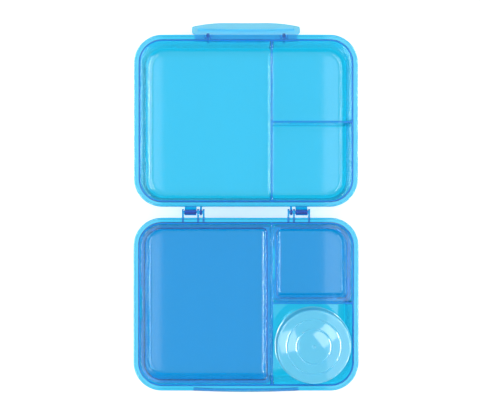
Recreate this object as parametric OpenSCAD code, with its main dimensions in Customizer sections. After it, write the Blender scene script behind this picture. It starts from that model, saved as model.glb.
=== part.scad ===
// Lunch box with a hinged lid, a front clip, two lift-out trays and a lidded pot.
// It is drawn open: the lid lies on its back behind the base, both undersides on z = 0.
// +X is to the right, +Y runs from the base's front to its hinges and +Z is up. The origin is
// the middle of the base's underside. Lengths are in millimetres.

/* [Box] */
// Width over the rims
box_w = 212; // [190:1:250]
// Depth over the rims
box_d = 163; // [150:1:190]
// Height of the base
base_h = 38; // [34:0.5:46]
// Height of the lid
lid_h = 34; // [30:0.5:42]
// Outer corner radius at the rim
corner_r = 26.5; // [24:0.5:32]
// Thickness of the side walls
wall = 1.8; // [1.4:0.1:2.4]
// Thickness of the floors
floor_t = 2; // [1.4:0.1:3]
// Slope of the side walls, in degrees
draft = 6.5; // [3:0.5:7]
// Inside radius between wall and floor
floor_fillet = 6; // [3:0.5:7]

/* [Rim] */
// How far the rim stands out from the wall
rim_w = 4.2; // [3.4:0.1:5]
// Thickness of the rim's flat top
rim_t = 2; // [1.5:0.1:2.4]
// Height of the rim's turned-down edge
skirt_h = 4; // [3:0.1:5]
// Thickness of the rim's turned-down edge
skirt_t = 1.6; // [1.2:0.1:2]
// Rounding along the rim's outer edge
rim_edge_r = 1; // [0.5:0.1:1.1]
// Gap between the two rims when the box is shut
rim_gap = 0.2; // [0.1:0.05:0.4]

/* [Dividers] */
// Middle of the long divider, right of the box's middle
divider_x = 24.5; // [20:0.5:28]
// Middle of the cross divider, behind the box's middle
divider_y = 1; // [-1:0.5:5]
// Thickness of a divider at its free edge
divider_t = 1.8; // [1.2:0.1:2.4]
// Slope of each divider face, in degrees
divider_draft = 0.8; // [0:0.1:1.5]
// How far a divider's free edge lies below the rim
divider_drop = 0.5; // [0.3:0.1:1]

/* [Hinges] */
// Distance of the hinge axis behind the rims
hinge_off = 5.1; // [4.6:0.1:6]
// Distance of each hinge set's first lug from the middle
hinge_x = 39; // [30:0.5:60]
// Radius of the hinge pin
pin_r = 1.6; // [1.2:0.05:1.8]
// Clearance all round a pin in its hook or bore
pin_gap = 0.06; // [0.03:0.01:0.1]
// Outer radius of the hooks and lugs
knuckle_r = 3; // [2.6:0.1:3.2]
// Thickness of each of the three lugs
lug_t = 1.9; // [1.4:0.1:2.5]
// Width of the narrow hook
narrow_hook_w = 2.1; // [1.6:0.1:3]
// Width of the wide hook
wide_hook_w = 11.2; // [8:0.1:14]
// Gap beside each hook
hook_side_gap = 0.6; // [0.3:0.05:1]
// Width of the slot through which a hook snaps over its pin
hook_mouth = 2.5; // [1.8:0.1:2.6]

/* [Clip] */
// Width of the clip
clip_w = 104; // [90:1:116]
// Length of the clip from its pivot to its free edge
clip_len = 22; // [19:0.5:25]
// Thickness of the clip's plate
clip_t = 2; // [1.6:0.1:2.4]
// How far the clip's middle bows out past its ends
clip_bow = 1.3; // [0.6:0.1:1.8]
// Half width over which the free edge is straight
clip_flat = 26; // [20:1:34]
// How far the free edge rises at the clip's ends
clip_rise = 4.3; // [2:0.1:5]
// Corner radius of the clip's plate
clip_corner_r = 3.5; // [2:0.1:4]
// Angle between the latched clip and the open one, in degrees
clip_open = 125; // [90:1:128]
// Distance of each pivot post from the middle
post_x = 36; // [28:0.5:42]
// Thickness of a pivot post
post_t = 2.4; // [1.8:0.1:3]
// Thickness of each ear of the clip
ear_t = 2; // [1.5:0.1:2.6]
// Gap between an ear and its post
ear_gap = 0.3; // [0.2:0.05:0.5]
// Half width of the base's catch
catch_half = 49.5; // [44:0.5:54]
// How far the catch stands out from the rim at its ends
catch_out = 0.4; // [0.2:0.1:0.6]
// Height of the catch
catch_h = 3; // [2.4:0.1:3.6]
// Gap between the latched hook and the catch
catch_gap = 0.3; // [0.2:0.05:0.5]

/* [Trays] */
// Clearance between a tray's rim and the walls round it
tray_gap = 0.3; // [0.2:0.05:0.6]
// How far a tray's rim lies below the base's rim
tray_drop = 1.5; // [1:0.1:3]
// Height of the trays
tray_h = 24; // [18:0.5:27]
// Thickness of the trays' walls and floors
tray_wall = 1.5; // [1.2:0.1:2]
// Slope of the trays' walls, in degrees
tray_draft = 3.5; // [2:0.5:5]
// How far a tray's rim stands out from its wall
tray_rim_w = 2.6; // [2:0.1:3.4]
// Thickness of a tray's rim
tray_rim_t = 1.6; // [1.2:0.1:2.4]
// Inside radius between a tray's wall and floor
tray_fillet = 2.2; // [1.5:0.1:3]
// Corner radius of a tray's rim beside the dividers
tray_rim_r = 4.5; // [3:0.5:6]
// Width of the finger notch in a tray's rim
notch_w = 30; // [20:1:40]
// Depth of the finger notch
notch_d = 1.3; // [0.8:0.1:1.6]

/* [Pot] */
// Overall height of the pot with its lid on
pot_h = 52; // [44:0.5:56]
// Radius of the pot's foot
pot_foot_r = 26; // [22:0.5:27]
// Radius of the pot's neck
pot_neck_r = 32; // [30:0.25:32.5]
// Wall thickness of the pot
pot_wall = 1.5; // [1.2:0.1:2]
// Height of the pot lid from its bottom edge to its top
pot_lid_h = 14; // [11:0.5:15]
// Radius of the pot lid's top
pot_lid_r = 34; // [33.8:0.1:34.4]
// How far the pot lid's bottom bead stands out past its top
pot_bead_out = 2; // [1.2:0.1:2]
// Thickness of the pot lid
pot_lid_t = 1.6; // [1.2:0.1:1.8]
// Clearance between the pot lid and the pot
pot_gap = 0.15; // [0.1:0.05:0.3]

/* [Hidden] */

plastic = [0.16, 0.68, 0.92];
milky = [0.46, 0.81, 0.95];
round_fn = 64;
bow_fn = 1800;
cut = 0.5;
blend = 0.02;
pin_end = 0.3;
ear_wall = 1.2;
ear_top = 5.5;
ear_air = 0.4;
post_wall = 1;
post_foot = 1;
lug_foot = 3;
lug_bite = 0.2;
arm_bite = 0.4;
catch_under = 0.6;
catch_slope = 1.2;
hook_reach = 2.9;
hook_taper = 1;
clip_air = 1.6;
tray_turn_air = 0.4;
pot_foot_round = 4;
pot_floor_round = 3;
cap_edge_r = 1.5;
cap_bead_r = 0.8;
cap_rings = [16, 25.2];
cap_ring_r = 0.75;
cap_ring_rise = 0.25;
cap_plug_t = 1;
cap_plug_h = 4;
far = 400;
half_w = box_w / 2;
half_d = box_d / 2;
axis_x = half_w - corner_r;
axis_y = half_d - corner_r;
wall_in = rim_w + wall;
slope = tan(draft);

hinge_y = half_d + hinge_off;
hinge_z = (base_h + lid_h + rim_gap) / 2;
lug_a = hinge_x;
hook_a = lug_a + lug_t + hook_side_gap;
lug_b = hook_a + narrow_hook_w + hook_side_gap;
hook_b = lug_b + lug_t + hook_side_gap;
lug_c = hook_b + wide_hook_w + hook_side_gap;
hinge_end = lug_c + lug_t;
mouth_turn = 225;

ear_r = pin_r + ear_wall;
post_r = pin_r + post_wall;
pivot_in = 0.6;
pivot_drop = rim_t + ear_r + ear_air;
pivot_z = lid_h - pivot_drop;
pin_half = post_t / 2 + ear_gap + ear_t + pin_end;
catch_low = base_h - skirt_h - catch_under;
catch_reach = pivot_drop + rim_gap + base_h - catch_low;
hook_w0 = catch_reach + catch_gap;
hook_t = 2.4;
clip_bow_r = (clip_w * clip_w / 4 + clip_bow * clip_bow) / (2 * clip_bow);
plate_v = pivot_in + catch_out + clip_bow + clip_air;
hook_v = plate_v - hook_reach;
tongue_half = catch_half - 0.5;
shoulder_w = 4.2;
plate_low = -1;
slot_top = 2.5;
bay_half = tongue_half + 0.5;

// To the nearest 0.02 mm, so that straight and turned lengths meet
function even(length) = round(length * 50) / 50;

tray_z1 = base_h - tray_drop;
tray_z0 = tray_z1 - tray_h;
tray_rim_z = tray_z1 - tray_rim_t;
tray_r = even(corner_r - wall_in - (base_h - tray_rim_z) * slope - tray_gap);
divider_half = divider_t / 2 + (base_h - divider_drop - tray_rim_z) * tan(divider_draft);
left_tray_edge = even(divider_x - divider_half - tray_gap);
side_tray_x = even(divider_x + divider_half + tray_gap);
side_tray_y = even(divider_y + divider_half + tray_gap);
tray_turn_r = even(tray_rim_w + tray_wall + (tray_h - tray_wall) * tan(tray_draft)
    + tray_fillet + tray_turn_air);

pot_x = (divider_x + divider_t / 2 + half_w - wall_in) / 2;
pot_y = (divider_y - divider_t / 2 - half_d + wall_in) / 2;
pot_seat = 0.1;
pot_z = floor_t + pot_seat;
pot_lid_z = pot_h - pot_lid_h;
pot_mouth_z = pot_h - pot_lid_t - pot_gap;

// Section of a solid with sloping sides and a rounded bottom edge. x = 0 is the outer edge that
// it is carried along, r1 is its side's place at the top z1, z0 its bottom, tan_slope the slope
// of its side and fillet the bottom radius. It is filled inwards as far as left.
module sloped_profile(r1, z0, z1, tan_slope, fillet, left = -far) {
    a = atan(tan_slope);
    r0 = r1 - (z1 - z0) * tan_slope;
    rc = r0 - fillet * (1 / cos(a) - tan_slope) + blend / cos(a);
    zc = z0 + fillet;
    touch_z = zc - fillet * sin(a);
    intersection() {
        polygon([[left, z0], [r0, z0], [r1, z1], [left, z1]]);
        union() {
            translate([rc, zc]) circle(r = fillet, $fn = round_fn);
            translate([left - 1, z0]) square([rc - left + 1, fillet]);
            translate([left - 1, touch_z]) square([r1 + fillet - left + 1, z1 - touch_z + 1]);
        }
    }
}

// Carries a section round the rectangle from low to high. The section's x is the distance out
// from the rectangle's edges, its y is height, and it fills the solid's whole height from z0 to
// z1 this side of the corners. Corner i turns at radius radii[i], from (+X, +Y) round to (+X, -Y).
module carry(low, high, radii, z0, z1) {
    deep = max(radii);
    xs = [high.x, low.x, low.x, high.x];
    ys = [high.y, high.y, low.y, low.y];
    for (i = [0 : 3]) {
        next = (i + 1) % 4;
        inward = [[-1, -1], [1, -1], [1, 1], [-1, 1]][i];
        run = i % 2 == 0 ? abs(high.x - low.x) : abs(high.y - low.y);
        translate([xs[i] + inward.x * radii[i], ys[i] + inward.y * radii[i], 0]) rotate(90 * i)
            rotate_extrude(angle = 90, $fn = round_fn) intersection() {
                translate([radii[i], 0]) children();
                translate([0, z0]) square([2 * deep, z1 - z0]);
            }
        translate([xs[i], ys[i], 0]) rotate(90 * (i + 2)) translate([radii[i], 0, 0])
            rotate([90, 0, 90]) linear_extrude(run - radii[i] - radii[next]) intersection() {
                mirror([1, 0]) children();
                translate([0, z0]) square([deep, z1 - z0]);
            }
    }
    translate([low.x + deep, low.y + deep, z0])
        cube([high.x - low.x - 2 * deep, high.y - low.y - 2 * deep, z1 - z0]);
}

// The rim's section: a flat top that turns down at its outer edge, which is rounded.
module rim_profile(h) {
    translate([-rim_w - wall / 2, h - rim_t]) square([rim_w + wall / 2 - rim_edge_r, rim_t]);
    translate([-skirt_t, h - skirt_h]) square([skirt_t, skirt_h - rim_edge_r]);
    translate([-rim_edge_r, h - rim_edge_r]) circle(r = rim_edge_r, $fn = round_fn);
}

// A divider's section, upright on the floor of a tub h high.
module divider_profile(h) {
    top = h - divider_drop;
    foot = divider_t / 2 + (top - floor_t) * tan(divider_draft);
    low = floor_t - cut;
    polygon([[-foot, low], [foot, low], [foot, floor_t], [divider_t / 2, top],
        [-divider_t / 2, top], [-foot, floor_t]]);
}

// Base or lid: a drafted tub h high with a rim and three compartments. The cross divider
// stands cross_y behind the middle.
module tub(h, cross_y) {
    low = [-half_w, -half_d];
    high = [half_w, half_d];
    radii = [corner_r, corner_r, corner_r, corner_r];
    difference() {
        carry(low, high, radii, 0, h) {
            sloped_profile(-rim_w, 0, h, slope, floor_fillet + wall);
            rim_profile(h);
        }
        difference() {
            carry(low, high, radii, floor_t, h + cut)
                sloped_profile(-wall_in + cut * slope, floor_t, h + cut, slope, floor_fillet);
            translate([divider_x, 0, 0]) rotate([90, 0, 0])
                linear_extrude(box_d, center = true) divider_profile(h);
            translate([divider_x, cross_y, 0]) rotate([90, 0, 90])
                linear_extrude(half_w) divider_profile(h);
        }
    }
}

// A plate from x0 to x1 whose outline's x runs along +Y and its y along +Z.
module across(x0, x1) {
    translate([x0, 0, 0]) rotate([90, 0, 90]) linear_extrude(x1 - x0) children();
}

// Outline of a base lug, with the hinge axis at its origin.
module lug_outline() {
    low = catch_low - hinge_z - lug_foot;
    wall_y = -hinge_off - rim_w - (base_h - catch_low + lug_foot) * slope - wall / 2;
    circle(r = knuckle_r, $fn = round_fn);
    polygon([[wall_y, low], [wall_y, base_h - hinge_z - rim_t + lug_bite],
        [-hinge_off - skirt_t / 2, base_h - hinge_z - rim_edge_r], [0, knuckle_r], [0, -knuckle_r]]);
}

// Outline of a lid hook, with the hinge axis at its origin: an arm, and a ring open on one side.
module hook_outline() {
    root = hinge_off + skirt_t / 2;
    edge = lid_h - hinge_z;
    difference() {
        union() {
            circle(r = knuckle_r, $fn = round_fn);
            polygon([[0, -knuckle_r], [root, edge - skirt_h], [root, edge - rim_edge_r + arm_bite],
                [hinge_off, edge - lug_bite], [0, knuckle_r]]);
        }
        circle(r = pin_r + pin_gap, $fn = round_fn);
        rotate(mouth_turn) translate([0, -hook_mouth / 2]) square([2 * knuckle_r, hook_mouth]);
    }
}

// The two hinge sets' lugs and pins on the base.
module base_hinges() {
    for (side = [0, 1]) mirror([side, 0, 0]) translate([0, hinge_y, hinge_z]) {
        for (x = [lug_a, lug_b, lug_c]) across(x, x + lug_t) lug_outline();
        translate([lug_a, 0, 0]) rotate([0, 90, 0])
            cylinder(r = pin_r, h = hinge_end - lug_a, $fn = round_fn);
    }
}

// The two hinge sets' hooks on the lid.
module lid_hooks() {
    for (side = [0, 1]) mirror([side, 0, 0]) translate([0, hinge_y, hinge_z]) {
        across(hook_a, hook_a + narrow_hook_w) hook_outline();
        across(hook_b, hook_b + wide_hook_w) hook_outline();
    }
}

// Carries a section along the gentle bow of the base's front. The section's x is the distance
// out from the rim at the middle, its y is height, and it ends at half either side.
module along_bow(bow_r, out, half) {
    turn = asin(half / bow_r);
    translate([0, out - bow_r, 0]) rotate(90 - turn)
        rotate_extrude(angle = 2 * turn, $fn = bow_fn) translate([bow_r - out, 0]) children();
}

// The base's catch: a bowed ledge under the front rim, sloped on top.
module catch_ledge() {
    out = catch_out + clip_bow;
    top = base_h - rim_edge_r;
    translate([0, -half_d, 0]) rotate(180) along_bow(clip_bow_r, out, catch_half)
        polygon([[-skirt_t, catch_low], [out, catch_low], [out, catch_low + catch_h / 2],
            [out - catch_slope, catch_low + catch_h], [-skirt_t, top]]);
}

// Pivot posts on the lid, each with a stub pin on either side.
module clip_posts() {
    low = -post_r - post_foot;
    back = -(rim_w - pivot_in) - (pivot_drop - low) * slope - wall / 2;
    for (x = [-post_x, post_x]) translate([x, 0, 0]) {
        across(-post_t / 2, post_t / 2) {
            circle(r = post_r, $fn = round_fn);
            polygon([[back, low], [0, -post_r], [0, pivot_drop - rim_t + cut],
                [back, pivot_drop - rim_t + cut]]);
        }
        translate([-pin_half, 0, 0]) rotate([0, 90, 0])
            cylinder(r = pin_r, h = 2 * pin_half, $fn = round_fn);
    }
}

// Front view of the clip's plate, latched: x along the clip, y from the pivot to the free edge.
module clip_outline() {
    half = clip_w / 2;
    side = half - clip_flat;
    edge_r = (side * side + clip_rise * clip_rise) / (2 * clip_rise);
    end_y = clip_len - clip_rise - 2;
    translate([-clip_flat, plate_low]) square([2 * clip_flat, clip_len - plate_low]);
    translate([-tongue_half, plate_low])
        square([2 * tongue_half, shoulder_w + clip_corner_r - plate_low]);
    for (s = [0, 1]) mirror([s, 0]) intersection() {
        translate([clip_flat, clip_len - edge_r]) circle(r = edge_r, $fn = 8 * round_fn);
        union() {
            translate([clip_flat - cut, shoulder_w]) square([side + cut - clip_corner_r, clip_len]);
            translate([half - 2 * clip_corner_r, shoulder_w + clip_corner_r])
                square([2 * clip_corner_r, end_y - shoulder_w - clip_corner_r]);
            translate([half - clip_corner_r, shoulder_w + clip_corner_r])
                circle(r = clip_corner_r, $fn = round_fn);
            translate([half - clip_corner_r, end_y]) circle(r = clip_corner_r, $fn = round_fn);
        }
    }
}

// The clip as latched, with its pivot on the X axis and its free edge up.
module clip_latched() {
    ear_v = plate_v - clip_bow * pow(2 * post_x / clip_w, 2);
    slot = post_t + 2 * ear_gap;
    difference() {
        intersection() {
            along_bow(clip_bow_r, plate_v, clip_w / 2)
                translate([plate_v, plate_low]) square([clip_t, clip_len - plate_low]);
            rotate([90, 0, 0]) linear_extrude(far, center = true) clip_outline();
        }
        for (x = [-post_x, post_x]) translate([x - slot / 2, 0, plate_low - cut])
            cube([slot, 2 * plate_v, slot_top - plate_low + cut]);
    }
    along_bow(clip_bow_r, plate_v, catch_half - 3)
        polygon([[hook_v, hook_w0], [plate_v + clip_t / 2, hook_w0],
            [plate_v + clip_t / 2, hook_w0 + hook_t + catch_under], [hook_v, hook_w0 + hook_t - hook_taper]]);
    for (x = [-post_x, post_x], s = [-1, 1])
        translate([x + s * (post_t / 2 + ear_gap + ear_t / 2), 0, 0])
            across(-ear_t / 2, ear_t / 2) difference() {
                union() {
                    circle(r = ear_r, $fn = round_fn);
                    polygon([[0, -ear_r], [ear_v + clip_t / 2, plate_low], [ear_v + clip_t / 2, ear_top],
                        [ear_r * cos(38), ear_r * sin(38)]]);
                }
                circle(r = pin_r + pin_gap, $fn = round_fn);
            }
}

// A tray whose rim fills the rectangle from low to high. rim_radii are its rim's corner radii and
// radii those that its walls turn at. The finger notch is in its left rim, halfway along.
module tray(low, high, rim_radii, radii) {
    tan_tray = tan(tray_draft);
    floor_z = tray_z0 + tray_wall;
    difference() {
        union() {
            carry(low, high, rim_radii, tray_rim_z, tray_z1)
                translate([-far, tray_rim_z]) square([far, tray_rim_t]);
            carry(low, high, radii, tray_z0, tray_z1)
                sloped_profile(-tray_rim_w, tray_z0, tray_z1, tan_tray, tray_fillet + tray_wall);
        }
        carry(low, high, radii, floor_z, tray_z1 + cut)
            sloped_profile(cut * tan_tray - tray_rim_w - tray_wall, floor_z, tray_z1 + cut,
                tan_tray, tray_fillet);
        translate([low.x - 1, (low.y + high.y - notch_w) / 2, tray_rim_z - cut])
            cube([notch_d + 1, notch_w, tray_rim_t + 2 * cut]);
    }
}

// Half of the pot's section, from its foot up.
module pot_outer_profile() {
    tan_pot = (pot_neck_r - pot_foot_r) / pot_lid_z;
    sloped_profile(pot_neck_r, 0, pot_lid_z, tan_pot, pot_foot_round, 0);
    translate([0, pot_lid_z - cut]) square([pot_neck_r, pot_mouth_z - pot_lid_z + cut]);
}

module pot_inner_profile() {
    tan_pot = (pot_neck_r - pot_foot_r) / pot_lid_z;
    neck = pot_neck_r - pot_wall;
    sloped_profile(neck, floor_t, pot_lid_z, tan_pot, pot_floor_round, 0);
    translate([0, pot_lid_z - cut]) square([neck, pot_h]);
}

// Half of the pot lid's section: a cap with two rings round its top, a flared skirt with a
// bead at its bottom edge, and a plug ring that fits inside the pot's neck.
module pot_lid_profile() {
    in_r = pot_neck_r + pot_gap;
    flat_r = pot_lid_r - cap_edge_r;
    edge_z = pot_h - cap_edge_r;
    bead_r = pot_lid_r + pot_bead_out - cap_bead_r;
    plug_r = pot_neck_r - pot_wall - pot_gap;
    difference() {
        union() {
            translate([0, pot_h - pot_lid_t]) square([flat_r, pot_lid_t]);
            translate([flat_r, edge_z]) intersection() {
                circle(r = cap_edge_r, $fn = round_fn);
                square(cap_edge_r);
            }
            polygon([[in_r, pot_lid_z], [bead_r, pot_lid_z], [bead_r, pot_lid_z + 2 * cap_bead_r],
                [pot_lid_r, edge_z], [flat_r, pot_h - cap_edge_r / 2], [in_r, pot_h - cap_edge_r / 2]]);
            translate([bead_r, pot_lid_z + cap_bead_r]) circle(r = cap_bead_r, $fn = round_fn);
            translate([plug_r - cap_plug_t, pot_h - pot_lid_t - cap_plug_h])
                square([cap_plug_t, cap_plug_h + cut]);
        }
        for (ring = cap_rings) translate([ring, pot_h + cap_ring_rise])
            circle(r = cap_ring_r, $fn = round_fn);
    }
}

module base_tub() {
    color(plastic) {
        tub(base_h, divider_y);
        base_hinges();
        catch_ledge();
    }
}

module lid() {
    color(plastic) translate([0, 2 * hinge_y, 0]) {
        difference() {
            tub(lid_h, -divider_y);
            translate([-bay_half, half_d - skirt_t - 0.1, lid_h - skirt_h - cut])
                cube([2 * bay_half, skirt_t + 1, skirt_h + cut - rim_t]);
        }
        translate([0, -2 * hinge_y, 0]) lid_hooks();
        translate([0, half_d - pivot_in, pivot_z]) clip_posts();
    }
}

module front_clip() {
    color(milky) translate([0, 2 * hinge_y + half_d - pivot_in, pivot_z])
        rotate([-clip_open, 0, 0]) clip_latched();
}

module sandwich_tray() {
    color(plastic) tray([-axis_x - tray_r, -axis_y - tray_r], [left_tray_edge, axis_y + tray_r],
        [tray_rim_r, tray_r, tray_r, tray_rim_r], [tray_turn_r, tray_r, tray_r, tray_turn_r]);
}

module side_tray() {
    color(plastic) tray([side_tray_x, side_tray_y], [axis_x + tray_r, axis_y + tray_r],
        [tray_r, tray_rim_r, tray_rim_r, tray_rim_r], [tray_r, tray_turn_r, tray_turn_r, tray_turn_r]);
}

module pot_body() {
    color(plastic) translate([pot_x, pot_y, pot_z]) difference() {
        rotate_extrude($fn = 2 * round_fn) pot_outer_profile();
        rotate_extrude($fn = 2 * round_fn) pot_inner_profile();
    }
}

module pot_lid() {
    color(milky) translate([pot_x, pot_y, pot_z])
        rotate_extrude($fn = 2 * round_fn) pot_lid_profile();
}

base_tub();
lid();
front_clip();
sandwich_tray();
side_tray();
pot_body();
pot_lid();
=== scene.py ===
"""A see-through blue lunch box, open flat, with two trays and a lidded pot.

Lengths are in millimetres until a mesh is made. The base's underside is z = 0, its middle is
the origin, and +Y runs from its front to its hinges. A shape is a stack of loops of points,
worked out as whole arrays, with a skin of quads between neighbouring loops.
"""
import math
import bmesh
import bpy
import numpy as np
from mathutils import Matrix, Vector


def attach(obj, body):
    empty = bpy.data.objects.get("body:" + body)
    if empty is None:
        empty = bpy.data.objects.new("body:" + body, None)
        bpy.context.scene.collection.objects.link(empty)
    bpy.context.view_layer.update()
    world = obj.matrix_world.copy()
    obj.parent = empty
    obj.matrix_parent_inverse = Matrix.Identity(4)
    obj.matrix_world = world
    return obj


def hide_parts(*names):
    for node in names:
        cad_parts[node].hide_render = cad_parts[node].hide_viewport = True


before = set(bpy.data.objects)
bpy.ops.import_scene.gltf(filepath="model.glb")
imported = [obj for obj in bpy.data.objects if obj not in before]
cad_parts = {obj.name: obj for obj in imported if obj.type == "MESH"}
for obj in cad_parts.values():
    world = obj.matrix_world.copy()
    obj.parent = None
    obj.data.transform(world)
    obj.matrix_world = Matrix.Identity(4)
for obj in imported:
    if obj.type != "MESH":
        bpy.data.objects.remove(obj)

MM = 0.001
# points nearer than this, in metres, are merged into one
MERGE = 2e-7
# how far a surface has to turn for its edge to be a sharp one
SHARP_TURN = math.radians(32)


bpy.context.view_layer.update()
scene = bpy.context.scene


# ---------------------------------------------------------------- sizes
def even(length):
    """The nearest even hundredth of a millimetre."""
    return 0.02 * round(length / 0.02)


# the tubs: half their width and depth over the rim, and walls that lean in towards the floor.
# The foot is less glossy up to SATIN_H.
HALF_W, HALF_D = 106.0, 81.5
BASE_H, LID_H = 38.0, 34.0
CORNER_R = 26.5
WALL, FLOOR = 1.8, 2.0
SLOPE = math.tan(math.radians(6.5))
FLOOR_FILLET, UNDERSIDE_IN = 6.0, 18.5
SATIN_H = 4.5

# the rim, the skirt turned down from its edge, the width of the painted shade line along its inner
# edge (an opaque darker blue standing in for the dark look of the wall seen end-on), and the gap
# between the two rims when the box is shut
RIM_W, RIM_T, SKIRT_H, SKIRT_T = 4.2, 2.0, 4.0, 1.6
RIM_EDGE, RIM_LIP, PAINTED_SHADE_W = 1.0, 0.45, 1.1
RIM_GAP = 0.2
WALL_IN = RIM_W + WALL

# the dividers: where the long and the cross one stand, how far they end under the rim, and the
# corners of the hollows beside them
DIVIDER_X, DIVIDER_Y = 24.5, 1.0
DIVIDER_T, DIVIDER_DROP = 1.8, 0.5
DIVIDER_EDGE, DIVIDER_FILLET = 0.35, 1.2
DIVIDER_SLOPE = math.tan(math.radians(0.8))
HOLLOW_R = 1.2

# the hinges: the base's three lugs a side, each from its X on, a pin between each two of them,
# and the lid's hooks on the pins, which open at MOUTH_TURN degrees round from +Y. SINK is how
# far an end runs on into what it's moulded with.
HINGE_OFF = 5.1
HINGE_Y, HINGE_Z = HALF_D + HINGE_OFF, (BASE_H + LID_H + RIM_GAP) / 2
LID_Y = 2 * HINGE_Y
LUGS, LUG_T, LUG_FOOT = (39.0, 44.2, 58.5), 1.9, 3.0
HOOK_GAP = 0.6
HOOKS = [(a + LUG_T + HOOK_GAP, b - HOOK_GAP) for a, b in zip(LUGS, LUGS[1:])]
PIN_R, PIN_GAP, KNUCKLE_R = 1.6, 0.06, 3.0
HOOK_MOUTH, MOUTH_TURN = 2.5, 225.0
SINK = 0.2

# the catch under the base's front rim
CATCH_DROP, CATCH_PLAY = 0.6, 0.3
CATCH_LOW = BASE_H - SKIRT_H - CATCH_DROP
CATCH_OUT, CATCH_H, CATCH_LEAN, CATCH_HALF = 0.4, 3.0, 1.2, 49.5

# the clip: half its width, its length, thickness and bow, and its free edge, level as far as
# CLIP_FLAT and then falling by CLIP_RISE
CLIP_HALF, CLIP_LEN, CLIP_T, CLIP_BOW = 52.0, 22.0, 2.0, 1.3
CLIP_FLAT, CLIP_RISE, CLIP_CORNER, CLIP_EDGE = 18.0, 6.4, 3.5, 0.45
CLIP_END_DROP = 2.0
CLIP_OPEN = math.radians(125)
BOW_R = (CLIP_HALF**2 + CLIP_BOW**2) / (2 * CLIP_BOW)

# the clip from its pins' axis: the plate's inner face, and the tongue, slots and shoulders
PLATE_OUT = 3.9
SIDE_GAP = 0.5
TONGUE_HALF = CATCH_HALF - SIDE_GAP
TONGUE_LOW, SLOT_TOP, SHOULDER = -1.0, 2.5, 6.5

# the clip's hook: how far in it reaches, its tip's and root's thickness, and what it lacks of
# the catch's length at each end
LEDGE_IN, LEDGE_TIP, LEDGE_ROOT, LEDGE_SHORT = 2.9, 1.4, 3.0, 3.0

# the lid's two posts with their stub pins, the clip's ears on them, and the bay in the skirt
POST_X, POST_T, POST_R, POST_FOOT, POST_SINK = 36.0, 2.4, 2.6, 1.0, 0.5
STUB_OUT = 0.3
EAR_T, EAR_GAP, EAR_R, EAR_TOP = 2.0, 0.3, 2.8, 5.5
EAR_TURN = math.radians(38)
PIVOT_IN, PIVOT_DROP = 0.6, 5.2
PIVOT_Y, PIVOT_Z = LID_Y + HALF_D - PIVOT_IN, LID_H - PIVOT_DROP
BAY_HALF, BAY_IN, BAY_OVER = TONGUE_HALF + SIDE_GAP, 0.1, 1.0

# the trays: a wall that leans in towards the floor, and a flat rim with a finger notch. Their
# edges stand TRAY_OFF from a divider's middle.
TRAY_DROP, TRAY_H, TRAY_GAP, TRAY_TURN_AIR = 1.5, 24.0, 0.3, 0.4
TRAY_Z1 = BASE_H - TRAY_DROP
TRAY_Z0 = TRAY_Z1 - TRAY_H
TRAY_WALL, TRAY_RIM_W, TRAY_RIM_T, TRAY_FILLET = 1.5, 2.6, 1.6, 2.2
TRAY_RIM_Z = TRAY_Z1 - TRAY_RIM_T
TRAY_SLOPE = math.tan(math.radians(3.5))
TRAY_R = even(CORNER_R - WALL_IN - (BASE_H - TRAY_RIM_Z) * SLOPE - TRAY_GAP)
TRAY_TURN_R = even(
    TRAY_RIM_W + TRAY_WALL + (TRAY_H - TRAY_WALL) * TRAY_SLOPE + TRAY_FILLET + TRAY_TURN_AIR
)
TRAY_RIM_R = 4.5
TRAY_OFF = even(
    DIVIDER_T / 2 + (BASE_H - DIVIDER_DROP - TRAY_RIM_Z) * DIVIDER_SLOPE + TRAY_GAP
)
NOTCH_W, NOTCH_D, NOTCH_FADE = 30.0, 1.3, 0.7

# the pot and its push-on lid
POT_X, POT_Y, POT_Z = 62.7, -37.7, 2.1
POT_H, POT_NECK, POT_FOOT, POT_WALL = 52.0, 32.0, 26.0, 1.5
POT_LID_H, POT_LID_T, POT_GAP = 14.0, 1.6, 0.15
LID_TOP_R, LID_BEAD_R, LID_BEAD_T, LID_BEAD_H = 34.0, 36.0, 0.75, 1.6
PLUG_T, PLUG_H = 1.0, 4.0
GROOVES, GROOVE_HALF, GROOVE_DEPTH = (25.2, 16.0), 0.9, 0.6
DIMPLE_R, DIMPLE_DEPTH = 1.8, 0.35

# ---------------------------------------------------------------- shapes
# steps round a quarter circle at a tub's corners
CORNER_STEPS = 14


def polar(radius, turns):
    """Points at a radius and an angle: (radius cos, radius sin)."""
    return np.stack([radius * np.cos(turns), radius * np.sin(turns)], -1)


def soften(line, steps, hold=0.25):
    """A line of (x, z, radius) or (x, z, radius, kind) with each corner rounded by its radius.

    Each arc is followed and led by a point a little further along, which keeps the flat
    beside it flat. Returns rows of (x, z, kind), where kind is 0 if none was given.
    """
    line = [(*row, 0)[:4] for row in line]
    rows = [(line[0][0], line[0][1], line[0][3])]
    for before, here, after in zip(line, line[1:], line[2:]):
        at = np.array(here[:2], float)
        back = np.array(before[:2], float) - at
        on = np.array(after[:2], float) - at
        back_len, on_len = np.hypot(*back), np.hypot(*on)
        back, on = back / back_len, on / on_len
        radius, kind = here[2:]
        if radius <= 0:
            rows.append((*at, kind))
            continue
        half = math.acos(np.clip(back @ on, -1, 1)) / 2
        away = radius / math.tan(half)
        middle = at + (back + on) / np.hypot(*(back + on)) * radius / math.sin(half)
        first, last = at + back * away - middle, at + on * away - middle
        start = math.atan2(first[1], first[0])
        swing = math.atan2(last[1], last[0]) - start
        swing = (swing + math.pi) % (2 * math.pi) - math.pi
        if back_len > 2 * (away + hold):
            rows.append((*(at + back * (away + hold)), kind))
        turns = start + swing * np.linspace(0, 1, steps + 1)
        rows.extend((*place, kind) for place in middle + polar(radius, turns))
        if on_len > 2 * (away + hold):
            rows.append((*(at + on * (away + hold)), kind))
    rows.append((line[-1][0], line[-1][1], line[-1][3]))
    return np.array(rows, float)


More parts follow.
